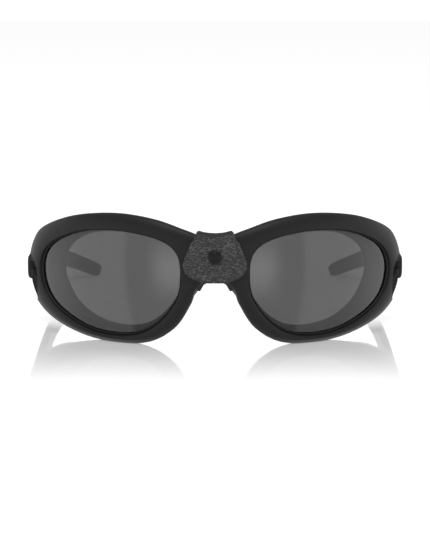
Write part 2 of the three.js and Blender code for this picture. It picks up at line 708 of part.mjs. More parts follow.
function peg(side, radius, length) {
  const at = saddlePoint(side * 0.62, SADDLE_THICKNESS * 0.62, 0);
  return rod(radius, length + 1, V(at.x, at.y - length, at.z), "y", 12);
}

function makeSaddle() {
  const sections = Array.from({ length: 25 }, (_, k) => {
    const v = k / 12 - 1;
    const leg = Math.abs(v);
    const end = leg > 0.9 ? 0.75 : 1;
    const thick = SADDLE_THICKNESS * end;
    const deep = SADDLE_DEPTH + 2 * leg;
    return [
      [0.5, 0],
      [thick - 0.4, 0],
      [thick, 0.4],
      [thick, deep * 0.55],
      [thick * 0.75, deep],
      [thick * 0.3, deep],
      [0, deep * 0.75],
      [0, 0.5],
    ]
      .reverse()
      .map(([outward, depth]) => saddlePoint(v, outward, depth));
  });
  let made = solid(new LoftGeometry(sections, { capStart: true, capEnd: true }));
  for (const side of [-1, 1]) made = made.add(peg(side, PEG_RADIUS, PEG_LENGTH));
  return made;
}

// ---- Materials ----
const matt = (color, roughness, metalness = 0) =>
  new THREE.MeshStandardMaterial({ color, roughness, metalness });
const MATERIALS = {
  nylon: matt(0x1d1e1f, 0.55),
  lens: new THREE.MeshStandardMaterial({
    color: 0x4a4b4d,
    roughness: 0.05,
    transparent: true,
    opacity: 0.7,
  }),
  leather: matt(0x2a2a2b, 0.75),
  rubber: matt(0x0d0d0d, 0.8),
  steel: matt(0x8b8d90, 0.3, 1),
  blackMetal: matt(0x141414, 0.4, 0.6),
};

// ---- Assembly ----
const assembly = new THREE.Group();

function place(name, made, material) {
  const geometry = made.isBufferGeometry ? made : geometryOf(made);
  const mesh = new THREE.Mesh(geometry, MATERIALS[material]);
  mesh.name = name;
  assembly.add(mesh);
}

function placePair(name, made, material) {
  const geometry = geometryOf(made);
  place(name + "_left", geometry, material);
  place(name + "_right", mirrored(geometry), material);
}

place("front_frame", makeFront(), "nylon");
placePair("lens", solid(makeLens()), "lens");
placePair("temple", makeTemple(), "nylon");
placePair("temple_core", core(0), "steel");
placePair("front_hinge", makeFrontHinge(), "steel");
placePair("temple_hinge", makeTempleHinge(), "steel");
placePair("hinge_screw", makeScrew(), "steel");
place("nose_saddle", makeSaddle(), "rubber");
place("leather_flap", makeFlap(), "leather");
place("leather_strap", makeStrap(), "leather");
place("snap_cap", makeSnapCap(), "blackMetal");
place("snap_socket", makeSnapSocket(), "steel");
place("snap_stud", makeSnapStud(), "steel");
place("snap_post", makeSnapPost(), "blackMetal");

// The origin is on the surface that the glasses stand on, at the middle of their box.
const bounds = new THREE.Box3().setFromObject(assembly);
assembly.position.set(0, -(bounds.min.y + bounds.max.y) / 2, -bounds.min.z);

export default assembly;
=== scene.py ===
"""Glacier glasses: the looks of a deep moulded front with mirrored grey lenses, folding
temples, a rubber nose saddle and a pebbled leather bridge cover held by a snap.

Shapes are worked out in millimetres along the frame's own axes and made metres at the end.
"""

import math

import bmesh
import bpy
from mathutils import Matrix, Vector, noise


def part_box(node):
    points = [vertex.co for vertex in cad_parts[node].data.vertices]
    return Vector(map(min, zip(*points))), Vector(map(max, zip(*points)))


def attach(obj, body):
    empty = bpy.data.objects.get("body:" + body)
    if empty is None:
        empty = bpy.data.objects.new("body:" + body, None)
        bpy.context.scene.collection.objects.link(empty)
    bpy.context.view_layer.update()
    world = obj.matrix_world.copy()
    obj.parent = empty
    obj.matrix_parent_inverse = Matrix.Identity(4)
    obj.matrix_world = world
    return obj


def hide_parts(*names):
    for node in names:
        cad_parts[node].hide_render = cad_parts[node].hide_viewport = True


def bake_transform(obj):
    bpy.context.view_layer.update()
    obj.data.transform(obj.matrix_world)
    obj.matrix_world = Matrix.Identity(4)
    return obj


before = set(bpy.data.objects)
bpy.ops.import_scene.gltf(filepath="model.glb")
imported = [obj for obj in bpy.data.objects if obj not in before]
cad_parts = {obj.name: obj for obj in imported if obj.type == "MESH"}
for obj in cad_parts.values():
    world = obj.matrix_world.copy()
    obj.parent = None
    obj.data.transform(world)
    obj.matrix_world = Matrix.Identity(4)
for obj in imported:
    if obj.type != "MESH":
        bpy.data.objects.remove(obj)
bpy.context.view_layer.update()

MM = 0.001
scene = bpy.context.scene


def middle(node):
    low, high = (Vector(corner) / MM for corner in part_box(node))
    return (low + high) / 2


# ---- Places taken from the frame ----
PIN = middle("hinge_screw_left")
PIN.z = middle("temple_hinge_left").z
SNAP = middle("snap_cap")
CAP_LOW, CAP_HIGH = (Vector(corner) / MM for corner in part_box("snap_cap"))

# ---- Driving sizes ----
LENS_WIDTH = 53.0
LENS_HEIGHT = 38.6
NASAL_GAP = 26.2
LENS_X = (NASAL_GAP + LENS_WIDTH) / 2
LENS_Z = PIN.z - 0.8
LENS_THICKNESS = 2.0
LENS_BITE = 0.8
WRAP_RADIUS = 86
FACE_RADIUS = 90
FACE_Y = PIN.y - 47.03  # the face's foremost line, on the bridge
FACE_Z = LENS_Z + 3
RIM_BELOW = 4.65
BRIDGE_TOP = LENS_Z + 17.45
BRIDGE_BOTTOM = LENS_Z + 3.35
CROWN = 0.5
EDGE_ROUND = 1.5
END_DEPTH = 8.4
GROOVE_FRONT = 1.4
GROOVE_BACK = 3.64
BACK_WALL = 1.5
TEMPLE_HEIGHT = 10.8
TEMPLE_THICKNESS = 4
TEMPLE_LENGTH = 116
TIP_HEIGHT = 6
TIP_INSET = 18.5
HINGE_GAP = 0.15
EYE_RADIUS = 1.7
TEMPLE_OUTER_X = PIN.x + EYE_RADIUS + HINGE_GAP + TEMPLE_THICKNESS
LEATHER = 1.3
COVER_GAP = 0.15


# ---- Shader maths ----
class Signal:
    """A value that changes over a surface. Arithmetic on it adds Math nodes."""

    def __init__(self, finish, socket):
        self.finish = finish
        self.socket = socket

    def math(self, operation, *others, clamp=False):
        settings = {"operation": operation, "use_clamp": clamp}
        return self.finish.node("ShaderNodeMath", settings, [self, *others]).out(0)

    def __add__(self, other):
        return self.math("ADD", other)

    def __radd__(self, other):
        return self.math("ADD", other)

    def __sub__(self, other):
        return self.math("SUBTRACT", other)

    def __rsub__(self, other):
        return self.finish.node("ShaderNodeMath", {"operation": "SUBTRACT"}, [other, self]).out(0)

    def __mul__(self, other):
        return self.math("MULTIPLY", other)

    def __rmul__(self, other):
        return self.math("MULTIPLY", other)

    def smooth(self, low, high):
        """0 below low, 1 above high, eased between."""
        settings = {"interpolation_type": "SMOOTHSTEP"}
        sockets = {"Value": self, "From Min": low, "From Max": high}
        return self.finish.node("ShaderNodeMapRange", settings, sockets).out("Result")


class Made:
    """A node, asked for its outputs by name or number."""

    def __init__(self, finish, node):
        self.finish = finish
        self.node = node

    def out(self, name):
        return Signal(self.finish, self.node.outputs[name])


class Graph:
    """A node tree that nodes are added to."""

    def __init__(self, tree):
        self.tree = tree

    def node(self, kind, settings=None, sockets=()):
        made = self.tree.nodes.new(kind)
        for key, value in (settings or {}).items():
            setattr(made, key, value)
        named = sockets.items() if isinstance(sockets, dict) else enumerate(sockets)
        for key, value in named:
            self.feed(made.inputs[key], value)
        return Made(self, made)

    def feed(self, socket, value):
        if isinstance(value, Signal):
            self.tree.links.new(value.socket, socket)
        elif isinstance(value, tuple) and len(value) == 3 and socket.type == "RGBA":
            socket.default_value = (*value, 1)
        else:
            socket.default_value = value


class Finish(Graph):
    """A material around one Principled shader, whose fixed values sit on its own sockets."""

    def __init__(self, name, **fixed):
        self.material = bpy.data.materials.new(name)
        self.material.use_nodes = True
        super().__init__(self.material.node_tree)
        self.shader = self.tree.nodes["Principled BSDF"]
        for key, value in fixed.items():
            socket = self.shader.inputs[key.replace("_", " ")]
            socket.default_value = (*value, 1) if isinstance(value, tuple) else value

    def set(self, name, value):
        self.feed(self.shader.inputs[name], value)

    def place(self, scale=1.0):
        """Object coordinates in metres, stretched by scale along each axis."""
        at = self.node("ShaderNodeTexCoord").out("Object")
        if scale == 1.0:
            return at
        factors = scale if isinstance(scale, tuple) else (scale,) * 3
        return self.node("ShaderNodeMapping", None, {"Vector": at, "Scale": factors}).out(0)

    def noise(self, scale, detail=2.0, roughness=0.5, at=None):
        sockets = {"Vector": at or self.place(), "Scale": scale, "Detail": detail}
        sockets["Roughness"] = roughness
        return self.node("ShaderNodeTexNoise", None, sockets).out(0)

    def mix(self, share, low, high):
        settings = {"data_type": "RGBA"}
        made = self.node("ShaderNodeMix", settings)
        self.feed(made.node.inputs[0], share)
        self.feed(made.node.inputs[6], low)
        self.feed(made.node.inputs[7], high)
        return made.out(2)

    def bump(self, height, depth, strength=1.0):
        sockets = {"Height": height, "Distance": depth, "Strength": strength}
        self.set("Normal", self.node("ShaderNodeBump", None, sockets).out(0))


def moulded_nylon():
    """Matt black nylon: a fine etched grain, and faint flow and handling marks."""
    finish = Finish("moulded_nylon", Specular_IOR_Level=0.25, IOR=1.5)
    grain = finish.noise(4200, detail=3, roughness=0.6)
    flow = finish.noise(70, detail=3)
    finish.set("Base Color", finish.mix(flow, (0.0085, 0.0088, 0.0092), (0.0125, 0.0129, 0.0135)))
    finish.set("Roughness", 0.4 + 0.09 * flow + 0.06 * grain)
    finish.bump(grain, 0.00002, 0.35)
    return finish.material


def mirrored_lens():
    """Dark grey lens that lets a little light through, under a soft mirror coat."""
    finish = Finish("mirrored_lens", Base_Color=(0.004, 0.004, 0.0042), IOR=1.75)
    finish.set("Roughness", 0.03 + 0.02 * finish.noise(40))
    finish.set("Alpha", 0.755)
    return finish.material


def pebbled_leather():
    """Black leather: grey along its wrinkled grain as painted highlight, dark in the creases as
    painted shade, and dark on cut edges.
    """
    finish = Finish("pebbled_leather", Specular_IOR_Level=0.4, IOR=1.45)
    settings = {"attribute_name": "grain", "attribute_type": "GEOMETRY"}
    grain = finish.node("ShaderNodeAttribute", settings).out("Fac")
    ridge = grain.smooth(0.1, 0.95)
    pores = finish.noise(4200, detail=3)
    highlight_patches = finish.noise(170, detail=3)
    # The ridges' grey is a painted highlight, made patchy at random; the dark crease colour is
    # painted shade.
    top = finish.mix(highlight_patches, (0.08, 0.081, 0.083), (0.13, 0.131, 0.134))
    finish.set("Base Color", finish.mix(ridge, (0.026, 0.026, 0.0265), top))
    finish.set("Roughness", 0.7 - 0.24 * ridge + 0.08 * pores)
    finish.bump(pores, 0.00005, 0.6)
    return finish.material


def soft_rubber():
    finish = Finish("soft_rubber", IOR=1.5)
    haze = finish.noise(220, detail=3)
    finish.set("Base Color", finish.mix(haze, (0.008, 0.008, 0.008), (0.014, 0.014, 0.014)))
    finish.set("Roughness", 0.55 + 0.15 * haze)
    finish.bump(finish.noise(3000), 0.00003, 0.3)
    return finish.material


def satin_steel():
    """Stainless steel with fine brush lines along its length."""
    finish = Finish("satin_steel", Metallic=1.0)
    lines = finish.noise(9000, detail=2, at=finish.place((1, 0.06, 1)))
    finish.set("Base Color", finish.mix(lines, (0.38, 0.38, 0.39), (0.52, 0.52, 0.53)))
    finish.set("Roughness", 0.24 + 0.16 * lines)
    finish.bump(lines, 0.00001, 0.3)
    return finish.material


def black_lacquer():
    """Black lacquered brass, rubbed a little lighter in random patches."""
    finish = Finish("black_lacquer", Specular_IOR_Level=0.3)
    rubbed = finish.noise(900, detail=3)
    finish.set("Base Color", finish.mix(rubbed, (0.002, 0.002, 0.002), (0.005, 0.005, 0.005)))
    finish.set("Roughness", 0.32 + 0.14 * rubbed)
    finish.bump(finish.noise(2600), 0.00002, 0.25)
    return finish.material


NYLON = moulded_nylon()
LENS = mirrored_lens()
HIDE = pebbled_leather()
RUBBER = soft_rubber()
STEEL = satin_steel()
LACQUER = black_lacquer()


# ---- Mesh helpers ----
def skin(rings, closed=False, pinch_start=False, pinch_end=False):
    """Rings of points, each extruded from the last. A pinched end is drawn to one point."""
    mesh = bmesh.new()
    line = list(bmesh.ops.create_circle(mesh, segments=len(rings[0]), radius=1)["verts"])
    edges = list(mesh.edges)
    ends = [list(line)]
    for vert, point in zip(line, rings[0]):
        vert.co = point
    for points in [*rings[1:], *(rings[:1] if closed else [])]:
        made = bmesh.ops.extrude_edge_only(mesh, edges=edges)["geom"]
        edges = [part for part in made if isinstance(part, bmesh.types.BMEdge)]
        fresh = {part for part in made if isinstance(part, bmesh.types.BMVert)}
        line = [
            next(e.other_vert(vert) for e in vert.link_edges if e.other_vert(vert) in fresh)
            for vert in line
        ]
        for vert, point in zip(line, points):
            vert.co = point
    ends.append(list(line))
    if closed:
        bmesh.ops.remove_doubles(mesh, verts=mesh.verts, dist=1e-4)
    for pinch, end in zip((pinch_start, pinch_end), ends):
        if pinch:
            centre = sum((vert.co for vert in end), Vector()) / len(end)
            bmesh.ops.pointmerge(mesh, verts=end, merge_co=centre)
    bmesh.ops.recalc_face_normals(mesh, faces=mesh.faces)
    return mesh


def turned(profile, centre, segments=48):
    """A profile of (radius, depth) points spun about a line along Y through the centre."""
    mesh = bmesh.new()
    verts = [mesh.verts.new((radius, depth, 0)) for radius, depth in profile]
    edges = [mesh.edges.new(pair) for pair in zip(verts, verts[1:])]
    bmesh.ops.spin(
        mesh, geom=verts + edges, cent=(0, 0, 0), axis=(0, 1, 0), angle=math.tau,
        steps=segments, use_merge=True,
    )
    bmesh.ops.remove_doubles(mesh, verts=mesh.verts, dist=1e-4)
    bmesh.ops.recalc_face_normals(mesh, faces=mesh.faces)
    bmesh.ops.translate(mesh, verts=mesh.verts, vec=centre)
    return mesh


def block(low, high, rounding, segments=3):
    """A box between two corners with its edges rounded."""
    mesh = bmesh.new()
    bmesh.ops.create_cube(mesh, size=1)
    low, high = Vector(low), Vector(high)
    bmesh.ops.scale(mesh, verts=mesh.verts, vec=high - low)
    bmesh.ops.translate(mesh, verts=mesh.verts, vec=(low + high) / 2)
    bmesh.ops.bevel(
        mesh, geom=mesh.edges, offset=rounding, affect="EDGES", segments=segments,
        profile=0.5, material=-1,
    )
    return mesh


def as_object(name, mesh):
    """Makes an object of a mesh in millimetres."""
    bmesh.ops.scale(mesh, verts=mesh.verts, vec=(MM,) * 3)
    data = bpy.data.meshes.new(name)
    mesh.to_mesh(data)
    mesh.free()
    made = bpy.data.objects.new(name, data)
    scene.collection.objects.link(made)
    return made


def subdivide(piece, levels=1):
    modifier = piece.modifiers.new("Subdivision", "SUBSURF")
    modifier.levels = levels
    modifier.render_levels = levels


def settle(piece):
    """Applies the modifiers, so the mesh is final."""
    bpy.context.view_layer.update()
    shown = piece.evaluated_get(bpy.context.evaluated_depsgraph_get())
    data = bpy.data.meshes.new_from_object(shown)
    piece.modifiers.clear()
    piece.data = data
    return piece


def carve(piece, cutters):
    """Cuts the cutters out of the piece, and removes them."""
    for cutter in cutters:
        modifier = piece.modifiers.new("Carve", "BOOLEAN")
        modifier.operation = "DIFFERENCE"
        modifier.object = cutter
        modifier.solver = "EXACT"
    settle(piece)
    for cutter in cutters:
        bpy.data.objects.remove(cutter)


def ground_cutter():
    """Everything under the surface that the open glasses stand on."""
    return as_object("ground", block((-200, -200, -20), (200, 200, 0), 0.1))


def side_name(side):
    return "left" if side > 0 else "right"


def dress(piece, body, material, replaces=(), sharp=35):
    """Gives a piece its material, and its body when one is given."""
    piece.data.materials.clear()
    piece.data.materials.append(material)
    piece.data.shade_smooth()
    piece.data.set_sharp_from_angle(angle=math.radians(sharp))
    if replaces:
        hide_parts(*replaces)
    if body:
        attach(piece, body)
    return piece


def mirrored(mesh):
    """A copy of a mesh on the other side of the glasses."""
    other = mesh.copy()
    bmesh.ops.scale(other, verts=other.verts, vec=(-1, 1, 1))
    bmesh.ops.reverse_faces(other, faces=other.faces)
    return other


def through(rows, u, closed):
    """A smooth line through rows of numbers: at whole u it passes through row u."""
    count = len(rows)
    step = math.floor(u)
    t = u - step

    def row(i):
        return rows[i % count] if closed else rows[min(max(i, 0), count - 1)]

    weights = (
        -t + 2 * t * t - t**3,
        2 - 5 * t * t + 3 * t**3,
        t + 4 * t * t - 3 * t**3,
        -t * t + t**3,
    )
    near = [row(step + k) for k in (-1, 0, 1, 2)]
    return [0.5 * sum(w * r[k] for w, r in zip(weights, near)) for k in range(len(near[0]))]


def mix(a, b, share):
    return a + (b - a) * share


# ---- The curved face that everything on the front follows ----
WRAP_LIMIT = 0.94 * WRAP_RADIUS


def face_depth(x, z):
    across = min(abs(x), WRAP_LIMIT)
    fall = math.sqrt(WRAP_RADIUS**2 - across**2)
    beyond = (abs(x) - across) * across / fall
    return WRAP_RADIUS - fall + beyond + (z - FACE_Z) ** 2 / (2 * FACE_RADIUS)


def face_normal(x, z):
    across = min(abs(x), WRAP_LIMIT)
    slope = math.copysign(across, x) / math.sqrt(WRAP_RADIUS**2 - across**2)
    return Vector((slope, -1, (z - FACE_Z) / FACE_RADIUS)).normalized()


def behind(x, z, depth):
    """The point that lies `depth` behind the face at (x, z)."""
    return Vector((x, FACE_Y + face_depth(x, z), z)) - face_normal(x, z) * depth


# ---- Outlines of the lens opening and of the front ----
# Each station: the lens edge in half widths and half heights from the lens centre; the step
# from there to the front's edge, or a height on the centre line; how far back the inner and
# outer walls go; how far the inner wall tucks in behind the lens; how much the outer wall
# runs straight back as the end piece; and the width of the lip round the lens.
MID_BRIDGE = (BRIDGE_TOP + BRIDGE_BOTTOM) / 2
STATIONS = [
    ((-0.985, 0.0), BRIDGE_BOTTOM, 6, 6, 0, 0, 0.8),
    ((-0.995, 0.33), MID_BRIDGE, 6, 6, 0, 0, 0.7),
    ((-0.95, 0.6), BRIDGE_TOP, 6, 6, 0, 0, 0.6),
    ((-0.8, 0.8), (-7.75, 5.3), 6, 6, 0, 0, 0.5),
    ((-0.5, 0.935), (-3.6, 6.5), 6, 6, 0.2, 0, 0.45),
    ((-0.08, 1.0), (-0.2, 6.8), 6, 6, 0.2, 0, 0.4),
    ((0.38, 0.935), (3.1, 6.1), 7, 6.5, 0.4, 0, 0.45),
    ((0.76, 0.7), (4.8, 5.8), 8.5, 8, 1.2, 0.6, 0.7),
    ((0.95, 0.4), (5.2, 6.1), 9, 9, 2.4, 1, 1.1),
    ((0.995, 0.02), (6.9, 3.2), 9, 9, 3, 1, 1.3),
    ((0.9, -0.4), (8.3, -0.2), 9, 9, 3.2, 1, 1.35),
    ((0.68, -0.69), (7.1, -3.1), 8, 8, 2.6, 0.6, 1.35),
    ((0.33, -0.92), (3.4, -4.2), 7, 6.5, 1.8, 0, 1.3),
    ((-0.05, -1.0), (-0.5, -RIM_BELOW), 6.5, 6, 1.2, 0, 1.25),
    ((-0.43, -0.93), (-3.7, -4.7), 6.5, 6, 0.7, 0, 1.2),
    ((-0.72, -0.65), (-5.7, -4), 6, 6, 0.2, 0, 1.1),
    ((-0.92, -0.28), (-6.2, -1.95), 6, 6, 0, 0, 0.95),
    ((-0.965, -0.12), (-7.4, 0.7), 6, 6, 0, 0, 0.85),
]
BRIDGE_CREST = 2  # the stations from 0 to here are on the bridge
SIDE = 9  # the station at the hinge
STEPS = 10  # sections between two stations
COUNT = len(STATIONS)

LENS_ROWS = [
    (LENS_X + s[0][0] * LENS_WIDTH / 2, LENS_Z + s[0][1] * LENS_HEIGHT / 2) for s in STATIONS
]
EDGE_ROWS = [
    (lens[0] + s[1][0], lens[1] + s[1][1]) if isinstance(s[1], tuple) else (0, s[1])
    for lens, s in zip(LENS_ROWS, STATIONS)
]
WALL_ROWS = [s[2:] for s in STATIONS]
ROUND_ROWS = [(0, 1), (0, 0), (0, -1)] + [
    tuple(Vector((lens[0] - edge[0], lens[1] - edge[1])).normalized())
    for lens, edge in list(zip(LENS_ROWS, EDGE_ROWS))[BRIDGE_CREST + 1 :]
]
# The ghost rows at both ends mirror their neighbours, so the halves meet smoothly.
EDGE_CURVE = [
    (-EDGE_ROWS[BRIDGE_CREST + 1][0], EDGE_ROWS[BRIDGE_CREST + 1][1]),
    *EDGE_ROWS[BRIDGE_CREST:],
    EDGE_ROWS[0],
    (-EDGE_ROWS[-1][0], EDGE_ROWS[-1][1]),
]
END_REAR = face_depth(*EDGE_ROWS[SIDE]) + END_DEPTH + FACE_Y
LOOP = [k / STEPS for k in range(COUNT * STEPS)]


def lens_edge(u):
    return through(LENS_ROWS, u, True)


def front_edge(u):
    if u < BRIDGE_CREST:
        return 0.0, mix(BRIDGE_BOTTOM, BRIDGE_TOP, u / BRIDGE_CREST)
    x, z = through(EDGE_CURVE, u - BRIDGE_CREST + 1, False)
    return max(x, 0.0), z


def round_direction(u):
    x, z = through(ROUND_ROWS, u, True)
    return (0, z) if front_edge(u)[0] == 0 else (x, z)


# ---- Front moulding ----
def rim_section(u):
    """One section of the rim, from the groove round the back and over the face to the lens."""
    lens, edge, rounding = lens_edge(u), front_edge(u), round_direction(u)
    inner, outer, tuck, lean, lip = through(WALL_ROWS, u, True)
    lean = min(max(lean, 0), 1)
    width = math.dist(edge, lens)

    def from_lens(distance, depth):
        share = distance / width
        return behind(mix(lens[0], edge[0], share), mix(lens[1], edge[1], share), depth)

    def from_edge(distance, depth):
        return behind(edge[0] + rounding[0] * distance, edge[1] + rounding[1] * distance, depth)

    def crown(distance):
        """Depth of the rim's face, which swells between the lip and the rounded edge."""
        share = (distance - lip) / (width - EDGE_ROUND - lip)
        on_bridge = 1 - math.hypot(*rounding)
        swell = math.sin(math.pi * min(max(share, 0), 1)) ** 0.8
        return -CROWN * max(swell, 0.8 * on_bridge * min(max(share, 0), 1))

    straight = from_edge(0, 2)
    straight.y = max(END_REAR, straight.y + 1)
    wall = from_edge(0.2, outer).lerp(straight, lean)
    corner = wall.lerp(from_lens(0.5, inner), 0.12 + 0.3 * lean)
    valley = from_lens(0.9, mix(inner, GROOVE_BACK + BACK_WALL, lean))
    top = from_edge(0, EDGE_ROUND + 0.7)
    ledge = 0.35 + 0.35 * min(lip, 1)
    opened = 0.42 * min(lip, 1.3)
    bead = lip - opened
    return [
        from_lens(opened, GROOVE_FRONT),
        from_lens(LENS_BITE + 0.3, GROOVE_FRONT),
        from_lens(LENS_BITE + 0.3, GROOVE_BACK),
        from_lens(0, GROOVE_BACK),
        from_lens(-tuck * 0.4, mix(GROOVE_BACK, inner, 0.45)),
        from_lens(-tuck, inner - 0.7),
        from_lens(0.08 - tuck, inner - 0.2),
        from_lens(0.45 - tuck, inner),
        valley,
        corner,
        wall.lerp(corner, 0.25),
        wall.lerp(corner, 0.06),
        wall.lerp(top, 0.06),
        wall.lerp(top, 0.25),
        wall.lerp(top, 0.65),
        top,
        from_edge(EDGE_ROUND * 0.1, EDGE_ROUND * 0.75),
        from_edge(EDGE_ROUND * 0.38, EDGE_ROUND * 0.33),
        from_edge(EDGE_ROUND, crown(width - EDGE_ROUND) + 0.05),
        from_lens(mix(lip, width - EDGE_ROUND, 0.75), crown(mix(lip, width - EDGE_ROUND, 0.75))),
        from_lens(mix(lip, width - EDGE_ROUND, 0.5), crown(mix(lip, width - EDGE_ROUND, 0.5))),
        from_lens(mix(lip, width - EDGE_ROUND, 0.25), crown(mix(lip, width - EDGE_ROUND, 0.25))),
        from_lens(lip + 0.35, -0.04),
        from_lens(lip + 0.1, 0.06),
        from_lens(lip, 0.3),
        from_lens(lip - 0.04, ledge + 0.35),
        from_lens(opened + bead * 0.78, ledge + 0.38),
        from_lens(opened + bead * 0.62, ledge + 0.05),
        from_lens(opened + bead * 0.36, ledge),
        from_lens(opened + bead * 0.12, ledge + 0.08),
        from_lens(opened, ledge + 0.3),
    ]


SCOOP_TILT = math.radians(13)  # its lower end leans in, along the front's edge


def hinge_lug(side):
    """The small step under the side window."""
    side_x, side_z = EDGE_ROWS[SIDE]
    side_y = FACE_Y + face_depth(side_x, side_z)
    lug = block(
        (side_x - 4.6, side_y - 1.6, PIN.z - 3.4), (side_x - 1.9, side_y + 2.6, PIN.z - 1.1), 0.5
    )
    bmesh.ops.scale(lug, verts=lug.verts, vec=(side, 1, 1))
    bmesh.ops.recalc_face_normals(lug, faces=lug.faces)
    dress(as_object("side_lug_" + side_name(side), lug), "front", NYLON)


def hinge_cutters(side):
    """The slot for the hinge, and the scoop and window in the side in front of it."""
    notch_front = PIN.y - EYE_RADIUS - 2.0
    half = TEMPLE_HEIGHT / 2 + 0.6
    side_x, side_z = EDGE_ROWS[SIDE]
    side_y = FACE_Y + face_depth(side_x, side_z)
    notch = block(
        (PIN.x - 6, notch_front, PIN.z - half), (side_x + 6, END_REAR + 6, PIN.z + half), 0.7
    )
    window = block(
        (side_x - 4.8, side_y - 5.5, PIN.z - 0.9), (side_x + 2, notch_front - 0.7, PIN.z + 2.2), 0.5
    )
    scoop = bmesh.new()
    bmesh.ops.create_uvsphere(scoop, u_segments=48, v_segments=32, radius=1)
    bmesh.ops.scale(scoop, verts=scoop.verts, vec=(5.3, 5.3, 11.0))
    bmesh.ops.rotate(scoop, verts=scoop.verts, matrix=Matrix.Rotation(SCOOP_TILT, 3, "Y"))
    bmesh.ops.translate(scoop, verts=scoop.verts, vec=(side_x - 0.3, side_y - 3.9, PIN.z - 2.4))
    made = []
    for name, mesh in (("notch", notch), ("window", window), ("scoop", scoop)):
        bmesh.ops.scale(mesh, verts=mesh.verts, vec=(side, 1, 1))
        bmesh.ops.recalc_face_normals(mesh, faces=mesh.faces)
        made.append(as_object(name, mesh))
    return made


def front_moulding():
    mesh = skin([rim_section(u) for u in LOOP], closed=True)
    cut = bmesh.ops.bisect_plane(
        mesh, geom=[*mesh.verts, *mesh.edges, *mesh.faces], dist=1e-5, plane_co=(0.25, 0, 0),
        plane_no=(1, 0, 0), clear_inner=True,
    )
    for part in cut["geom_cut"]:
        if isinstance(part, bmesh.types.BMVert):
            part.co.x = 0
    bmesh.ops.mirror(
        mesh, geom=[*mesh.verts, *mesh.edges, *mesh.faces], matrix=Matrix(), merge_dist=0.001,
        axis="X",
    )
    bmesh.ops.recalc_face_normals(mesh, faces=mesh.faces)
    piece = as_object("front_moulding", mesh)
    subdivide(piece)
    carve(piece, hinge_cutters(1) + hinge_cutters(-1) + [ground_cutter()])
    hinge_lug(1)
    hinge_lug(-1)
    return dress(piece, "front", NYLON, ["front_frame"], sharp=40)


# ---- Lenses ----
def lens_mesh():
    front = GROOVE_FRONT + 0.12

    def ring(share, depth):
        points = []
        for u in LOOP:
            lens, edge = lens_edge(u), front_edge(u)
            bite = LENS_BITE / math.dist(lens, edge)
            x, z = mix(lens[0], edge[0], bite), mix(lens[1], edge[1], bite)
            points.append(behind(mix(LENS_X, x, share), mix(LENS_Z, z, share), depth))
        return points

    shares = [0.03, 0.1, 0.2, 0.32, 0.45, 0.58, 0.7, 0.8, 0.88, 0.94, 0.98, 1]
    rings = [ring(share, front) for share in shares]
    rings += [ring(share, front + LENS_THICKNESS) for share in reversed(shares)]
    return skin(rings, pinch_start=True, pinch_end=True)


def lenses():
    left = lens_mesh()
    for side, mesh in (("right", mirrored(left)), ("left", left)):
        piece = as_object("lens_blank_" + side, mesh)
        dress(piece, "front", LENS, ["lens_" + side])


# ---- Temples ----
TEMPLE_X = TEMPLE_OUTER_X - TEMPLE_THICKNESS / 2
TEMPLE_FRONT = PIN.y - EYE_RADIUS - 1.2
FLOOR_FLAT = 0.2
TIP_UNDERSIDE = TIP_HEIGHT / 2 - 0.96
TIP_DROP = PIN.z - TIP_UNDERSIDE + FLOOR_FLAT + 0.1


def temple_point(s):
    hook = s**6
    return Vector(
        (
            TEMPLE_X - TIP_INSET * hook,
            TEMPLE_FRONT + TEMPLE_LENGTH * s,
            PIN.z - TIP_DROP * (0.55 * s + 0.45 * hook) - 0.8 * max(0, 1 - s / 0.12) ** 2,
        )
    )


def temple_section(s, thickness, height, sides=28):
    tangent = (temple_point(s + 1e-3) - temple_point(s - 1e-3)).normalized()
    outward = Vector((tangent.y, -tangent.x, 0)).normalized()
    up = outward.cross(tangent)
    points = []
    for k in range(sides):
        angle = math.tau * (k + 0.5) / sides
        flat = [math.copysign(abs(v) ** 0.5, v) for v in (math.cos(angle), math.sin(angle))]
        points.append(
            temple_point(s) + outward * (flat[0] * thickness / 2) + up * (flat[1] * height / 2)
        )
    return points


def temple_mesh():
    nose = [1 - math.cos(math.pi / 2 * k / 6) for k in range(7)]
    tail = [math.sin(math.pi / 2 * k / 8) for k in range(9)]
    rows = [(0.014 * v, math.sqrt(1 - (1 - v) ** 2)) for v in nose]
    rows += [(mix(0.014, 0.965, k / 44), 1) for k in range(1, 44)]
    rows += [(mix(0.965, 1, v), math.sqrt(1 - v * v)) for v in tail]
    rings = []
    for s, full in rows:
        waist = 1 - 0.14 * (1 - min(s / 0.14, 1)) ** 2
        height = mix(TEMPLE_HEIGHT, TIP_HEIGHT, s) * waist * mix(0.6, 1, full)
        thickness = TEMPLE_THICKNESS * (1 - 0.15 * s) * mix(0.45, 1, full)
        rings.append(temple_section(s, thickness, height))
    return skin(rings, pinch_start=True, pinch_end=True)


def temples():
    left = temple_mesh()
    seat = ((TEMPLE_OUTER_X - TEMPLE_THICKNESS - 2, PIN.y - 0.15, PIN.z - 2.35),
            (TEMPLE_OUTER_X - TEMPLE_THICKNESS + 0.95, PIN.y + 9.15, PIN.z + 2.35))
    for side, mesh in ((-1, mirrored(left)), (1, left)):
        name = side_name(side)
        piece = as_object("temple_arm_" + name, mesh)
        cutter = block(*seat, 0.25)
        bmesh.ops.scale(cutter, verts=cutter.verts, vec=(side, 1, 1))
        bmesh.ops.recalc_face_normals(cutter, faces=cutter.faces)
        carve(piece, [as_object("seat", cutter), ground_cutter()])
        dress(piece, "temple_" + name, NYLON, ["temple_" + name], sharp=40)


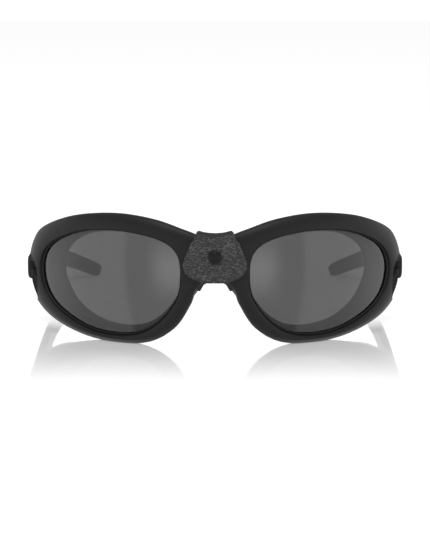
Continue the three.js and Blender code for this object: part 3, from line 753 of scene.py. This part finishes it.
# ---- Nose saddle ----
SADDLE_ROWS = [
    (-3, BRIDGE_BOTTOM - 3.4), (0, BRIDGE_BOTTOM - 3.0), (3, BRIDGE_BOTTOM - 3.4),
    (5.9, BRIDGE_BOTTOM - 5.6), (9.2, BRIDGE_BOTTOM - 10.2), (12.4, BRIDGE_BOTTOM - 15.6),
]
SADDLE_FRONT = 6.45  # its depth behind the face
SADDLE_THICKNESS = 3.0
SADDLE_DEPTH = 4.2


def saddle_point(v, outward, depth):
    """A point of the saddle: v runs from -1 to 1 along it, from one leg's end to the other's."""

    def leg(at):
        x, z = through(SADDLE_ROWS, 1 + abs(at) * 4, False)
        return Vector((math.copysign(x, at), z))

    here = leg(v)
    along = (leg(v + 0.01) - leg(v - 0.01)).normalized()
    return behind(here.x - along.y * outward, here.y + along.x * outward, SADDLE_FRONT + depth)


# Outline of the saddle's corner that shows in the arch, from the middle and from the lens
# centre's height; and its sections: depth behind the face, and size.
CORNER_TAB = [(3.2, 2.9), (3.5, 1.6), (4.35, 0.1), (5.5, -1.9), (5.8, -2.0), (7.0, -1.5),
              (7.6, 0.5), (7.6, 2.6), (5.4, 3.2)]
CORNER_STEPS = [(1.1, 1.0), (1.1, 0.86), (1.2, 0.97), (1.4, 1.0), (6.4, 1.0), (6.6, 0.95)]


def corner_ring(side, depth, size):
    middle_x = sum(x for x, _ in CORNER_TAB) / len(CORNER_TAB)
    middle_z = sum(z for _, z in CORNER_TAB) / len(CORNER_TAB)
    return [
        behind(side * mix(middle_x, x, size), LENS_Z + mix(middle_z, z, size), depth)
        for x, z in CORNER_TAB
    ]


def nose_saddle():
    """A soft rubber bow with a rolled rim and a shallow channel along its nose side."""
    ends = [1 - math.cos(math.pi / 2 * k / 5) for k in range(6)]
    rows = [(mix(-1, -0.965, v), math.sqrt(1 - (1 - v) ** 2)) for v in ends]
    rows += [(mix(-0.965, 0.965, k / 48), 1) for k in range(1, 48)]
    rows += [(-v, full) for v, full in reversed(rows[:6])]
    rings = []
    for v, full in rows:
        thick = SADDLE_THICKNESS * mix(0.4, 1, full) * (1 - 0.12 * abs(v) ** 4)
        deep = (SADDLE_DEPTH + 2 * abs(v)) * mix(0.5, 1, full)
        inset = (SADDLE_THICKNESS - thick) / 2
        profile = [
            (0.35, 0), (thick * 0.5, 0), (thick - 0.45, 0), (thick - 0.1, 0.12), (thick, 0.45),
            (thick, deep * 0.3), (thick * 0.98, deep * 0.55), (thick * 0.9, deep * 0.8),
            (thick * 0.74, deep * 0.97), (thick * 0.5, deep), (thick * 0.3, deep * 0.985),
            (thick * 0.1, deep * 0.88), (0.06, deep * 0.72), (0.14, deep * 0.6),
            (0.3, deep * 0.45), (0.14, deep * 0.28), (0.02, deep * 0.18), (0.08, 0.25),
        ]
        rings.append([saddle_point(v, inset + a, b) for a, b in profile])
    piece = as_object("saddle_bow", skin(rings, pinch_start=True, pinch_end=True))
    subdivide(piece)
    settle(piece)
    dress(piece, "front", RUBBER, ["nose_saddle"])
    for side in (-1, 1):
        tab = skin([corner_ring(side, *step) for step in CORNER_STEPS], False, True, True)
        dress(as_object("saddle_corner_" + side_name(side), tab), "front", RUBBER)
        at = saddle_point(side * 0.62, SADDLE_THICKNESS * 0.62, 0)
        peg = turned([(0, -2.4), (0.6, -2.4), (0.8, -2.2), (0.8, 0.6), (0, 0.6)], at, 24)
        dress(as_object("saddle_peg_" + side_name(side), peg), "front", RUBBER)


# ---- Leather bridge cover ----
# Heights on the frame and half widths of the flap, from its lower edge up to the fold.
FLAP_ROWS = [
    (0.0, 1.4), (0.12, 3.2), (0.35, 4.7), (0.8, 6.3), (1.45, 7.95), (2.5, 9.7), (3.7, 10.9),
    (4.9, 11.5), (6.1, 11.7), (7.5, 11.6), (9.0, 11.15), (10.6, 10.5), (12.2, 9.85),
    (13.8, 9.2), (15.0, 8.6),
]
FLAP_BOTTOM = BRIDGE_BOTTOM - 1.8
STRAP_BACK = face_depth(0, BRIDGE_TOP) + FACE_Y + 6.45
STRAP_DROP = 12.5
HIDE_COLUMNS = 108
HIDE_STEPS = 6  # sections between two places on the path
EDGE_RADIUS = 0.35
BORE_RADIUS = 1.15  # the hole for the snap
GRAIN_DEPTH = 0.26


def crest_height(x):
    """Height of the bridge's top edge at x from the middle."""
    low, high = BRIDGE_CREST, BRIDGE_CREST + 2
    for _ in range(30):
        half = (low + high) / 2
        if front_edge(half)[0] < abs(x):
            low = half
        else:
            high = half
    return front_edge(low)[1]


def hide_path():
    """Places on the hide's inner face on the middle line: (y, z, outward, half width, rise)."""
    rows = []
    for rise, half in FLAP_ROWS:
        z = FLAP_BOTTOM + rise
        rows.append((FACE_Y + face_depth(0, z) - CROWN - COVER_GAP, z, (-1, 0), half, 0))
    front = FACE_Y + face_depth(0, BRIDGE_TOP) - CROWN - COVER_GAP
    top = BRIDGE_TOP + 0.75
    bends = [
        (0.0, -1.0, -1, 0, 7.9, 0), (0.0, -0.35, -0.97, 0.24, 7.45, 0.2),
        (0.15, -0.02, -0.85, 0.53, 7.1, 0.4), (0.45, 0.1, -0.6, 0.8, 6.75, 0.6),
        (0.9, 0.12, -0.3, 0.95, 6.35, 0.7), (1.7, 0.05, -0.08, 1, 6.0, 0.7),
    ]
    rows += [(front + y, top + z, (oy, oz), half, r) for y, z, oy, oz, half, r in bends]
    span = STRAP_BACK - front - 1.4
    for k in (0.35, 0.6, 0.85):
        rows.append((front + 1.7 + (span - 1.7) * k, top - 0.4 * k, (0, 1), 5.9, 0.7 - 0.35 * k))
    for k in range(5):
        turn = math.pi / 2 * k / 4
        rows.append(
            (
                STRAP_BACK - 1.4 + 1.4 * math.sin(turn),
                top - 1.85 + 1.4 * math.cos(turn),
                (math.sin(turn), math.cos(turn)),
                5.9,
                mix(0.35, 0.15, k / 4),
            )
        )
    bottom = top - STRAP_DROP
    for k in (0.15, 0.35, 0.55, 0.75, 0.88):
        rows.append((STRAP_BACK, mix(top - 1.85, bottom, k), (1, 0), 5.9 - 0.3 * k, 0.15 * (1 - k)))
    for drop, half in ((1.0, 5.3), (0.45, 4.7), (0.15, 3.9), (0.0, 2.8)):
        rows.append((STRAP_BACK, bottom + drop, (1, 0), half, 0))
    return rows


def hide_ring(row, fullness):
    """A section across the hide: the outer face, a rounded edge, the inner face and back."""
    y, z, out, half, rise = row

    def point(x, layer):
        bow = face_depth(x, z) - face_depth(0, z)
        lift = rise * (crest_height(x) - BRIDGE_TOP) if rise else 0
        depth = LEATHER * mix(0.5, layer, fullness)
        return Vector((x, y + bow + out[0] * depth, z + lift + out[1] * depth))

    edge = min(EDGE_RADIUS, half * 0.3)
    corner = [(edge * (1 - math.sin(a)), 1 - 0.27 * (1 - math.cos(a)))
              for a in (math.pi / 8, math.pi / 4, 3 * math.pi / 8, math.pi / 2)]
    across = [mix(-half + edge, half - edge, k / HIDE_COLUMNS) for k in range(HIDE_COLUMNS + 1)]
    right = [(half - inset, layer) for inset, layer in corner]
    outer = [(x, 1) for x in across] + right
    inner = [(x, 1 - layer) for x, layer in reversed(right)] + [(x, 0) for x in reversed(across)]
    left_lower = [(-x, 1 - layer) for x, layer in right]
    left_upper = [(-x, layer) for x, layer in reversed(right)]
    return [point(x, layer) for x, layer in outer + inner + left_lower + left_upper]


def pebble(point):
    """How high the hide's grain stands at a point, from 0 in a crease to 1 on a ridge."""
    sway = noise.noise_vector(point * 0.35) * 0.8
    wide = noise.noise(Vector((point.x / 1.15, point.y / 0.5, point.z / 0.36)) + sway)
    fine = noise.noise(Vector((point.x / 0.7, point.y / 0.4, point.z / 0.26)) - sway)
    ridge = 1 - 0.65 * min(abs(wide) * 3.2, 1) - 0.35 * min(abs(fine) * 3, 1)
    return ridge * (0.9 + 0.25 * noise.noise(point * 0.7))


def leather_cover():
    path = [(y, z, *out, half, rise) for y, z, out, half, rise in hide_path()]
    fine = []
    for k in range((len(path) - 1) * HIDE_STEPS + 1):
        y, z, oy, oz, half, rise = through(path, k / HIDE_STEPS, False)
        size = math.hypot(oy, oz)
        fine.append((y, z, (oy / size, oz / size), half, rise))
    rings = []
    for k, row in enumerate(fine):
        ends = min(k, len(fine) - 1 - k)
        rings.append(hide_ring(row, math.sin(math.pi / 2 * min((ends + 1) / 5, 1))))
    mesh = skin(rings, pinch_start=True, pinch_end=True)
    mesh.normal_update()
    grain = mesh.verts.layers.float.new("grain")
    lifts = []
    for vert in mesh.verts:
        if hide_outside(vert):
            height = pebble(vert.co)
            # On faces turned upward the painted ridge highlight is dimmed to under half, so the top
            # of the fold is darker.
            vert[grain] = height * (0.45 if vert.normal.z > 0.5 else 1)
            lifts.append((vert, vert.normal * (GRAIN_DEPTH * (height - 0.75))))
    for vert, lift in lifts:
        vert.co += lift
    piece = as_object("leather_cover", mesh)
    walls = [(0, -9), (BORE_RADIUS, -9), (BORE_RADIUS, 14), (0, 14)]
    bore = turned(walls, Vector((0, CAP_HIGH.y, SNAP.z)), 32)
    carve(piece, [as_object("bore", bore)])
    dress(piece, None, HIDE, ["leather_flap", "leather_strap"], sharp=60)
    # The hanging strap also lies past the blend's end, so it wrongly swings with the flap.
    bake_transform(piece)
    steps = [(math.dist(near[:2], far[:2]), near[3] + far[3]) for near, far in zip(fine, fine[1:])]
    length = sum(step for step, _ in steps)
    widest = 2 * max(row[3] for row in fine)
    area = sum(step * width for step, width in steps)
    widest * MM
    length * MM
    area * MM * MM


def hide_outside(vert):
    """True on the hide's outer face, the grain side."""
    x, y, z = vert.co
    if z < BRIDGE_TOP and y < FACE_Y + 3:
        return y < FACE_Y + face_depth(x, z) - CROWN - COVER_GAP - LEATHER * 0.7
    if z >= BRIDGE_TOP:
        return vert.normal.z > 0.2 or vert.normal.y < -0.5
    return y > STRAP_BACK + LEATHER * 0.6


# ---- Snap fastener ----
def snap():
    centre = Vector((0, 0, SNAP.z))
    front, radius = CAP_LOW.y, CAP_HIGH.x
    cap = [
        (0, front + 0.1), (radius * 0.3, front + 0.08), (radius * 0.5, front + 0.12),
        (radius * 0.58, front + 0.2), (radius * 0.62, front + 0.27), (radius * 0.67, front + 0.2),
        (radius * 0.74, front + 0.13), (radius * 0.84, front + 0.2), (radius * 0.93, front + 0.42),
        (radius * 0.985, front + 0.66), (radius, front + 0.84), (radius * 0.97, front + 0.95),
        (radius * 0.9, front + 0.98), (1.1, front + 0.98), (1.1, CAP_HIGH.y), (0, CAP_HIGH.y),
    ]
    dress(as_object("snap_dome", turned(cap, centre, 64)), "flap", LACQUER,
          ["snap_cap"])
    low, high = (Vector(c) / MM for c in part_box("snap_socket"))
    socket = [
        (0, low.y), (high.x - 0.12, low.y), (high.x, low.y + 0.1), (high.x - 0.03, low.y + 0.26),
        (high.x - 0.2, low.y + 0.34), (1.95, low.y + 0.42), (1.86, high.y - 0.12),
        (1.78, high.y), (1.45, high.y), (1.36, high.y - 0.1), (1.35, low.y + 0.3),
        (0, low.y + 0.3),
    ]
    dress(as_object("snap_ring", turned(socket, centre, 48)), "flap", STEEL,
          ["snap_socket"])
    low, high = (Vector(c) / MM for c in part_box("snap_stud"))
    stud = [
        (0, low.y), (0.45, low.y + 0.03), (0.72, low.y + 0.14), (0.88, low.y + 0.34),
        (0.9, low.y + 0.5), (0.8, low.y + 0.68), (0.76, high.y - 0.42), (0.9, high.y - 0.32),
        (high.x - 0.15, high.y - 0.3), (high.x, high.y - 0.18), (high.x - 0.02, high.y - 0.05),
        (high.x - 0.12, high.y), (0, high.y),
    ]
    dress(as_object("snap_ball", turned(stud, centre, 48)), "front", STEEL,
          ["snap_stud"])
    low, high = (Vector(c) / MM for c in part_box("snap_post"))
    rear = high.y - 0.8
    post = [
        (0, low.y), (0.7, low.y), (0.8, low.y + 0.1), (0.8, rear), (high.x - 0.1, rear),
        (high.x, rear + 0.1), (high.x, rear + 0.25), (high.x * 0.9, rear + 0.42),
        (high.x * 0.62, rear + 0.62), (high.x * 0.5, rear + 0.7), (high.x * 0.42, rear + 0.64),
        (high.x * 0.3, rear + 0.66), (0, high.y - 0.05),
    ]
    dress(as_object("snap_rivet", turned(post, centre, 48)), "front", LACQUER,
          ["snap_post"])


# ---- Hinges ----
def eased(node, name, body, material, rounding):
    """The frame's own shape with its flats merged and its edges rounded over."""
    mesh = bmesh.new()
    mesh.from_mesh(bpy.data.objects[node].data)
    bmesh.ops.scale(mesh, verts=mesh.verts, vec=(1 / MM,) * 3)
    bmesh.ops.remove_doubles(mesh, verts=mesh.verts, dist=1e-3)
    bmesh.ops.dissolve_limit(
        mesh, verts=mesh.verts, edges=mesh.edges, angle_limit=math.radians(2)
    )
    piece = as_object(name, mesh)
    bevel = piece.modifiers.new("Bevel", "BEVEL")
    bevel.width = rounding * MM
    bevel.segments = 2
    bevel.limit_method = "ANGLE"
    bevel.angle_limit = math.radians(35)
    settle(piece)
    dress(piece, body, material, [node], sharp=30)


def hinges():
    for side in ("left", "right"):
        eased("front_hinge_" + side, "hinge_fork_" + side, "front", STEEL, 0.12)
        eased("temple_hinge_" + side, "hinge_tongue_" + side, "temple_" + side,
              STEEL, 0.12)
        eased("hinge_screw_" + side, "hinge_pin_" + side, "front", STEEL, 0.08)
        core = bpy.data.objects["temple_core_" + side]
        core.data.materials.clear()
        core.data.materials.append(STEEL)


# ---- Camera, floor and light ----
CAMERA_BACK = 640
CAMERA_HEIGHT = 138.4
LOOK_AT = Vector((0, FACE_Y + 15, 27.5))
SENSOR = 36
LENS_LENGTH = 119.302793
FLOOR_SHINE = 0.52  # how much of the floor mirrors, where its mirror is strongest
OVERHEAD_POWER = 9


def camera():
    data = bpy.data.cameras.new("camera")
    data.sensor_width = SENSOR
    data.lens = LENS_LENGTH
    data.clip_start = 0.05
    made = bpy.data.objects.new("camera", data)
    scene.collection.objects.link(made)
    spot = Vector((0, FACE_Y - CAMERA_BACK, CAMERA_HEIGHT))
    made.location = spot * MM
    made.rotation_mode = "QUATERNION"
    made.rotation_quaternion = (LOOK_AT - spot).to_track_quat("-Z", "Y")
    scene.camera = made


def floor():
    """A white floor whose mirror fades away in front of the glasses."""
    mesh = bmesh.new()
    bmesh.ops.create_grid(mesh, x_segments=1, y_segments=1, size=4000)
    piece = as_object("floor", mesh)
    finish = Finish("white_floor", Base_Color=(0.8, 0.8, 0.8), Roughness=1.0, IOR=1.0)
    finish.shader.inputs["Emission Color"].default_value = (1, 1, 1, 1)
    finish.shader.inputs["Emission Strength"].default_value = 0.5
    apart = finish.node("ShaderNodeSeparateXYZ", None, [finish.place()])
    depth = apart.out(1)
    near = depth.smooth((FACE_Y - 88) * MM, (FACE_Y + 14) * MM)
    near = near * (1 - depth.smooth((FACE_Y + 28) * MM, (FACE_Y + 60) * MM))
    mirror = finish.node("ShaderNodeBsdfGlossy", None, {"Color": (1, 1, 1), "Roughness": 0.05})
    both = finish.node("ShaderNodeMixShader", None, [FLOOR_SHINE * near])
    finish.tree.links.new(finish.shader.outputs[0], both.node.inputs[1])
    finish.tree.links.new(mirror.node.outputs[0], both.node.inputs[2])
    surface = finish.tree.nodes["Material Output"].inputs["Surface"]
    finish.tree.links.new(both.node.outputs[0], surface)
    piece.data.materials.append(finish.material)
    piece.visible_glossy = False


def lamp(name, spot, target, size, power):
    data = bpy.data.lights.new(name, "AREA")
    data.shape = "RECTANGLE"
    data.size, data.size_y = size
    data.energy = power
    made = bpy.data.objects.new(name, data)
    scene.collection.objects.link(made)
    made.location = spot
    made.rotation_mode = "QUATERNION"
    made.rotation_quaternion = (Vector(target) - Vector(spot)).to_track_quat("-Z", "Y")


def studio():
    """A white room, seen as plain white. What it mirrors into the lenses is shaped like a
    softbox beside the camera, a dim gap, and a bright wall at the side."""
    world = bpy.data.worlds.new("studio")
    scene.world = world
    world.use_nodes = True
    room = Graph(world.node_tree)
    toward = room.node("ShaderNodeTexCoord").out("Generated")
    parts = room.node("ShaderNodeSeparateXYZ", None, [toward])
    x, y, z = (parts.out(k) for k in range(3))
    turn = x.math("ABSOLUTE").math("ARCTAN2", -1 * y) * (180 / math.pi)
    level_height = room.node("ShaderNodeMath", {"operation": "ABSOLUTE"}, [z + 0.1]).out(0)
    softbox = (1 - (turn - 24).math("ABSOLUTE").smooth(2, 15)) * (1 - level_height.smooth(0.0, 0.34))
    walls = 0.62 + 0.4 * turn.smooth(47, 51) + 0.5 * turn.smooth(70, 112)
    above = 1 - 0.6 * z.smooth(0.2, 0.6)
    lit = (walls + 1.1 * softbox) * above
    seen = room.node("ShaderNodeLightPath").out("Is Camera Ray")
    background = world.node_tree.nodes["Background"]
    room.feed(background.inputs["Strength"], lit.math("MAXIMUM", seen))
    background.inputs["Color"].default_value = (1, 1, 1, 1)
    scene.view_settings.view_transform = "Standard"
    lamp("overhead", (0, -0.75, 1.35), (0, -0.05, 0.02), (0.9, 0.5), OVERHEAD_POWER)


camera()
floor()
studio()
front_moulding()
lenses()
temples()
nose_saddle()
leather_cover()
snap()
hinges()
